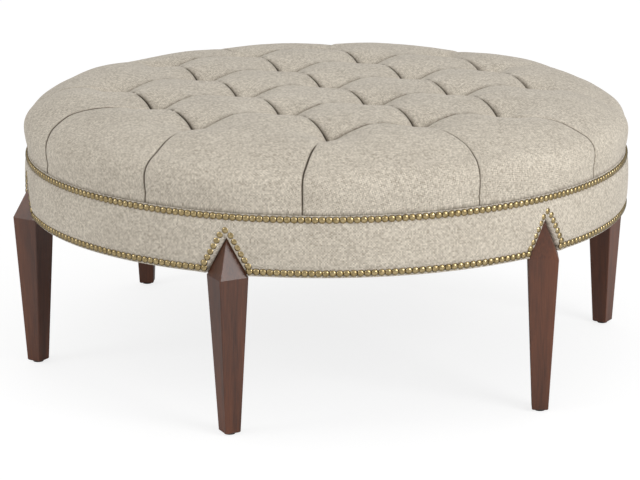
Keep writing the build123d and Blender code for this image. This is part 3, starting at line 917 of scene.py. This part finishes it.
def makeWeaveGroup():
    group, given, result = startGroup(
        "heatheredWeave",
        [
            ("Vector", "NodeSocketVector", None),
            ("Pitch", "NodeSocketFloat", weave["pitch"]),
            ("Light", "NodeSocketColor", (1, 1, 1, 1)),
            ("Dark", "NodeSocketColor", (0.5, 0.5, 0.5, 1)),
        ],
        [("Color", "NodeSocketColor"), ("Height", "NodeSocketFloat")],
    )
    place = given.outputs["Vector"]
    perMetre = calc(group, "DIVIDE", 1, given.outputs["Pitch"])
    wobble = group.nodes.new("ShaderNodeTexNoise")
    wobble.inputs["Scale"].default_value = weave["wobbleScale"]
    plug(group, place, wobble.inputs["Vector"])
    sideways = (weave["wobble"], weave["wobble"], 0)
    shifted = vectorCalc(group, "MULTIPLY_ADD", wobble.outputs["Color"], sideways, place)
    scaled = vectorCalc(group, "SCALE", shifted, scale=perMetre)
    parts = group.nodes.new("ShaderNodeSeparateXYZ")
    plug(group, scaled, parts.inputs[0])
    warp, weft = parts.outputs[0], parts.outputs[1]

    # The warp lies over in every other cell, and each thread is round
    warpCell, weftCell = calc(group, "FLOOR", warp), calc(group, "FLOOR", weft)
    turnAbout = calc(group, "MULTIPLY", calc(group, "ADD", warpCell, weftCell), 0.5)
    over = calc(group, "LESS_THAN", calc(group, "FRACT", turnAbout), 0.25)
    under = calc(group, "SUBTRACT", 1, over)
    warpRound, weftRound = (
        calc(group, "ABSOLUTE", calc(group, "SINE", calc(group, "MULTIPLY", thread, math.pi)))
        for thread in (warp, weft)
    )
    lowWeft = calc(group, "MULTIPLY", weftRound, weave["weftHeight"])
    height = weighted(group, (warpRound, over), (lowWeft, under))

    # One tone for each crossing, one for each clump, the unevenness of the yarn, and painted shade where
    # the threads dip
    cell = group.nodes.new("ShaderNodeCombineXYZ")
    for value, socket in zip((warpCell, weftCell, over), cell.inputs):
        plug(group, value, socket)
    fleck = group.nodes.new("ShaderNodeTexWhiteNoise")
    plug(group, cell.outputs[0], fleck.inputs["Vector"])
    clumpCell = vectorCalc(group, "SNAP", scaled, (weave["clump"], weave["clump"], 1))
    clump = group.nodes.new("ShaderNodeTexWhiteNoise")
    plug(group, clumpCell, clump.inputs["Vector"])
    slub = noise(group, place, weave["slubScale"], 2, 0.6)
    patch = noise(group, place, weave["patchScale"], 2, 0.5)
    tone = weighted(
        group,
        (fleck.outputs["Value"], weave["fleckTone"]),
        (clump.outputs["Value"], weave["clumpTone"]),
        (spread(group, slub, 0.3, 0.7), weave["slubTone"]),
        # Painted shade where a thread dips, from its height
        (calc(group, "SUBTRACT", 1, height), weave["gapShade"]),
        (spread(group, patch, 0.35, 0.65), weave["patchTone"]),
        (under, weave["underTone"]),
    )
    mixed = blendColour(group, tone, given.outputs["Light"], given.outputs["Dark"])
    plug(group, mixed, result.inputs["Color"])
    plug(group, height, result.inputs["Height"])
    return group


# Wood grain along Z, with pores in its bump
def makeGrainGroup():
    group, given, result = startGroup(
        "woodGrain",
        [
            ("Vector", "NodeSocketVector", None),
            ("Scale", "NodeSocketFloat", 1),
            ("Light", "NodeSocketColor", (1, 1, 1, 1)),
            ("Dark", "NodeSocketColor", (0.5, 0.5, 0.5, 1)),
        ],
        [("Color", "NodeSocketColor"), ("Height", "NodeSocketFloat")],
    )
    scaled = vectorCalc(group, "SCALE", given.outputs["Vector"], scale=given.outputs["Scale"])
    band = noise(group, scaled, 1, 4, 0.55, stretch=(38, 38, 2.6))
    fibre = noise(group, scaled, 1, 3, 0.6, stretch=(420, 420, 14))
    pore = noise(group, scaled, 1, 2, 0.5, stretch=(900, 900, 30))
    tone = weighted(group, (spread(group, band, 0.32, 0.68), 0.6), (spread(group, fibre, 0.3, 0.7), 0.4))
    mixed = blendColour(group, tone, given.outputs["Light"], given.outputs["Dark"])
    plug(group, mixed, result.inputs["Color"])
    plug(group, weighted(group, (fibre, 0.6), (pore, 0.4)), result.inputs["Height"])
    return group


# Two tones in soft patches with a fine grit, for plain finishes
def makeMottleGroup():
    group, given, result = startGroup(
        "mottle",
        [
            ("Vector", "NodeSocketVector", None),
            ("Patch", "NodeSocketFloat", 40),
            ("Grit", "NodeSocketFloat", 900),
            ("Light", "NodeSocketColor", (1, 1, 1, 1)),
            ("Dark", "NodeSocketColor", (0.5, 0.5, 0.5, 1)),
        ],
        [("Color", "NodeSocketColor"), ("Height", "NodeSocketFloat"), ("Wear", "NodeSocketFloat")],
    )
    patch = noise(group, given.outputs["Vector"], given.outputs["Patch"], 3, 0.55)
    grit = noise(group, given.outputs["Vector"], given.outputs["Grit"], 2, 0.6)
    tone = weighted(group, (spread(group, patch, 0.3, 0.7), 0.65), (spread(group, grit, 0.3, 0.7), 0.35))
    mixed = blendColour(group, tone, given.outputs["Light"], given.outputs["Dark"])
    plug(group, mixed, result.inputs["Color"])
    plug(group, grit, result.inputs["Height"])
    plug(group, spread(group, patch, 0.35, 0.75), result.inputs["Wear"])
    return group


weaveGroup = makeWeaveGroup()
grainGroup = makeGrainGroup()
mottleGroup = makeMottleGroup()


def startMaterial(name, group, useUv=False, **values):
    material = bpy.data.materials.new(name)
    material.use_nodes = True
    tree = material.node_tree
    shader = tree.nodes["Principled BSDF"]
    if useUv:
        place = tree.nodes.new("ShaderNodeUVMap")
        place.uv_map = "cloth"
        vector = place.outputs[0]
    else:
        vector = tree.nodes.new("ShaderNodeTexCoord").outputs["Object"]
    effect = tree.nodes.new("ShaderNodeGroup")
    effect.node_tree = group
    plug(tree, vector, effect.inputs["Vector"])
    for label, value in values.items():
        plug(tree, value, effect.inputs[label])
    plug(tree, effect.outputs["Color"], shader.inputs["Base Color"])
    return material, tree, shader, effect


def addBump(tree, shader, height, strength, distance):
    bump = tree.nodes.new("ShaderNodeBump")
    bump.inputs["Strength"].default_value = strength
    bump.inputs["Distance"].default_value = distance
    plug(tree, height, bump.inputs["Height"])
    plug(tree, bump.outputs[0], shader.inputs["Normal"])


def weaveMaterial(name):
    light, dark = colour(*weave["light"]), colour(*weave["dark"])
    material, tree, shader, effect = startMaterial(
        name, weaveGroup, useUv=True, Pitch=weave["pitch"], Light=light, Dark=dark
    )
    # Painted shade: the cloth darkens where the piece's attribute marks folds and nails
    paintedShade = tree.nodes.new("ShaderNodeAttribute")
    paintedShade.attribute_name = "paintedShade"
    share = calc(tree, "MULTIPLY", paintedShade.outputs["Fac"], weave["paintedShadeGain"])
    share = calc(tree, "MINIMUM", share, weave["paintedShadeMost"])
    shaded = blendColour(tree, share, effect.outputs["Color"], colour(*weave["paintedShadeColour"]))
    plug(tree, shaded, shader.inputs["Base Color"])
    shader.inputs["Roughness"].default_value = 0.9
    shader.inputs["Sheen Weight"].default_value = 0.1
    shader.inputs["Sheen Roughness"].default_value = 0.5
    shader.inputs["Specular IOR Level"].default_value = 0.2
    addBump(tree, shader, effect.outputs["Height"], 0.1, 0.0004)
    return material


def stainedWood():
    light, dark = colour(108, 59, 32), colour(50, 24, 11)
    material, tree, shader, effect = startMaterial(
        "stainedLegWood", grainGroup, Scale=1.0, Light=light, Dark=dark
    )
    shader.inputs["Roughness"].default_value = 0.4
    shader.inputs["Specular IOR Level"].default_value = 0.65
    addBump(tree, shader, effect.outputs["Height"], 0.06, 0.0003)
    return material


def bareWood(name, light, dark, scale):
    material, tree, shader, effect = startMaterial(
        name, grainGroup, Scale=scale, Light=colour(*light), Dark=colour(*dark)
    )
    shader.inputs["Roughness"].default_value = 0.75
    addBump(tree, shader, effect.outputs["Height"], 0.25, 0.0005)
    return material


def agedBrassPaintedRim():
    light, dark = colour(208, 188, 144), colour(138, 118, 76)
    material, tree, shader, effect = startMaterial(
        "agedBrassPaintedRim", mottleGroup, Patch=180.0, Grit=2500.0, Light=light, Dark=dark
    )
    # Painted dark reflection: the heads darken towards their edges as seen, by how far they face away
    rim = tree.nodes.new("ShaderNodeLayerWeight")
    rim.inputs["Blend"].default_value = 0.5
    rimShadeShare = calc(tree, "POWER", rim.outputs["Facing"], 1.4)
    rimShaded = blendColour(tree, rimShadeShare, effect.outputs["Color"], colour(58, 46, 16))
    plug(tree, rimShaded, shader.inputs["Base Color"])
    shader.inputs["Metallic"].default_value = 1
    plug(tree, calc(tree, "MULTIPLY_ADD", effect.outputs["Wear"], 0.16, 0.22), shader.inputs["Roughness"])
    addBump(tree, shader, effect.outputs["Height"], 0.1, 0.0002)
    return material


def plainFinish(name, light, dark, patch, grit, rough, metal=0.0, bump=0.2):
    material, tree, shader, effect = startMaterial(
        name, mottleGroup, Patch=float(patch), Grit=float(grit), Light=colour(*light), Dark=colour(*dark)
    )
    shader.inputs["Metallic"].default_value = metal
    shader.inputs["Roughness"].default_value = rough
    addBump(tree, shader, effect.outputs["Height"], bump, 0.0004)
    return material


finishes = {
    "leg_wood": stainedWood(),
    "frame_wood": bareWood("bareFrameWood", (206, 176, 132), (158, 122, 80), 0.8),
    "deck_plywood": bareWood("deckPlywood", (212, 186, 146), (172, 140, 98), 0.6),
    "seat_fabric": weaveMaterial("seatWeave"),
    "band_fabric": weaveMaterial("bandWeave"),
    "wadding": plainFinish("softWadding", (240, 238, 232), (214, 210, 200), 60, 500, 0.95),
    "foam": plainFinish("creamFoam", (236, 224, 182), (206, 190, 146), 30, 700, 0.9, bump=0.5),
    "brass_nails": agedBrassPaintedRim(),
    "zinc_steel": plainFinish("zincSteel", (190, 192, 196), (150, 152, 158), 120, 1500, 0.38, metal=1.0),
    "glide_plastic": plainFinish("glideNylon", (48, 44, 42), (30, 28, 26), 80, 1200, 0.55),
    "black_cambric": plainFinish("blackCambric", (34, 34, 36), (18, 18, 20), 50, 1600, 0.95, bump=0.6),
    "tufting_twine": plainFinish("waxedTwine", (224, 212, 184), (180, 164, 130), 300, 2500, 0.7),
    "toggle_wood": bareWood("toggleWood", (204, 170, 124), (160, 122, 78), 1.5),
}


def dress(piece, material):
    piece.data.materials.clear()
    piece.data.materials.append(material)


slotOfNode = {entry["node"]: entry["material_slot"] for entry in frame["record"]["subparts"]}
for name, node in frame["nodes"].items():
    dress(node, finishes[slotOfNode[name]])
dress(tuftedSeat, finishes["seat_fabric"])
dress(apronCover, finishes["band_fabric"])
dress(dustSheet, finishes["black_cambric"])
for row in nailRows:
    dress(row, finishes["brass_nails"])
print("materials made:", len(bpy.data.materials))


# Stage: pale floor, soft boxes and the photograph's viewing angle

studio = {
    "floorSize": 60.0,
    "floorColour": (0.85, 0.85, 0.85, 1),
    "floorSeen": (0.27, 0.27, 0.27, 1),  # to the camera, which sees the glow too
    "floorGlow": 0.8,
    "floorRoughness": 0.8,
    "horizonStrength": 0.47,
    "zenithStrength": 0.8,
    "lens": 138.49,
    "sensorWidth": 36,
    "farthest": 200,  # that the camera sees
    "place": (1.288, -4.066, 1.332),
    "azimuth": 17.74,
    "elevation": 15.0,
    "roll": -0.2346,
}
lights = [
    # name, place, aim, width, height, power
    ("keyBox", (3.78, -1.76, 2.05), (0, 0, 0.3), 2.0, 2.0, 85),
    ("fillBox", (-3.15, -2.74, 2.05), (0, 0, 0.3), 1.5, 1.5, 31),
]


def makeStage():
    deselectAll()
    bpy.ops.mesh.primitive_plane_add(size=studio["floorSize"])
    floor = bpy.context.active_object
    floor.name = "floor"
    material = bpy.data.materials.new("paleFloor")
    material.use_nodes = True
    tree = material.node_tree
    shader = tree.nodes["Principled BSDF"]
    seen = tree.nodes.new("ShaderNodeLightPath").outputs["Is Camera Ray"]
    base = blendColour(tree, seen, studio["floorColour"], studio["floorSeen"])
    plug(tree, base, shader.inputs["Base Color"])
    shader.inputs["Roughness"].default_value = studio["floorRoughness"]
    shader.inputs["Specular IOR Level"].default_value = 0.1
    shader.inputs["Emission Color"].default_value = (1, 1, 1, 1)
    plug(tree, calc(tree, "MULTIPLY", seen, studio["floorGlow"]), shader.inputs["Emission Strength"])
    dress(floor, material)
    world = bpy.data.worlds.new("studioWorld")
    world.use_nodes = True
    tree = world.node_tree
    background = tree.nodes["Background"]
    background.inputs["Color"].default_value = (1, 1, 1, 1)
    direction = tree.nodes.new("ShaderNodeSeparateXYZ")
    plug(tree, tree.nodes.new("ShaderNodeTexCoord").outputs["Generated"], direction.inputs[0])
    rise = tree.nodes.new("ShaderNodeMapRange")
    plug(tree, direction.outputs[2], rise.inputs["Value"])
    rise.inputs["To Min"].default_value = studio["horizonStrength"]
    rise.inputs["To Max"].default_value = studio["zenithStrength"]
    plug(tree, rise.outputs[0], background.inputs["Strength"])
    bpy.context.scene.world = world
    for name, place, aim, width, height, power in lights:
        lamp = bpy.data.lights.new(name, "AREA")
        lamp.shape = "RECTANGLE"
        lamp.size, lamp.size_y, lamp.energy = width, height, power
        holder = bpy.data.objects.new(name, lamp)
        bpy.context.scene.collection.objects.link(holder)
        holder.location = place
        holder.rotation_mode = "QUATERNION"
        holder.rotation_quaternion = (Vector(aim) - Vector(place)).to_track_quat("-Z", "Y")


def makeCamera():
    camera = bpy.data.cameras.new("camera")
    camera.lens = studio["lens"]
    camera.sensor_width = studio["sensorWidth"]
    camera.clip_end = studio["farthest"]
    holder = bpy.data.objects.new("camera", camera)
    bpy.context.scene.collection.objects.link(holder)
    azimuth, elevation = math.radians(studio["azimuth"]), math.radians(studio["elevation"])
    aim = Vector(
        (
            -math.sin(azimuth) * math.cos(elevation),
            math.cos(azimuth) * math.cos(elevation),
            -math.sin(elevation),
        )
    )
    holder.location = studio["place"]
    holder.rotation_mode = "QUATERNION"
    roll = Quaternion((0, 0, 1), math.radians(studio["roll"]))
    holder.rotation_quaternion = aim.to_track_quat("-Z", "Y") @ roll
    bpy.context.scene.camera = holder


makeStage()
makeCamera()
bpy.context.scene.view_settings.view_transform = "Standard"
print("stage made")
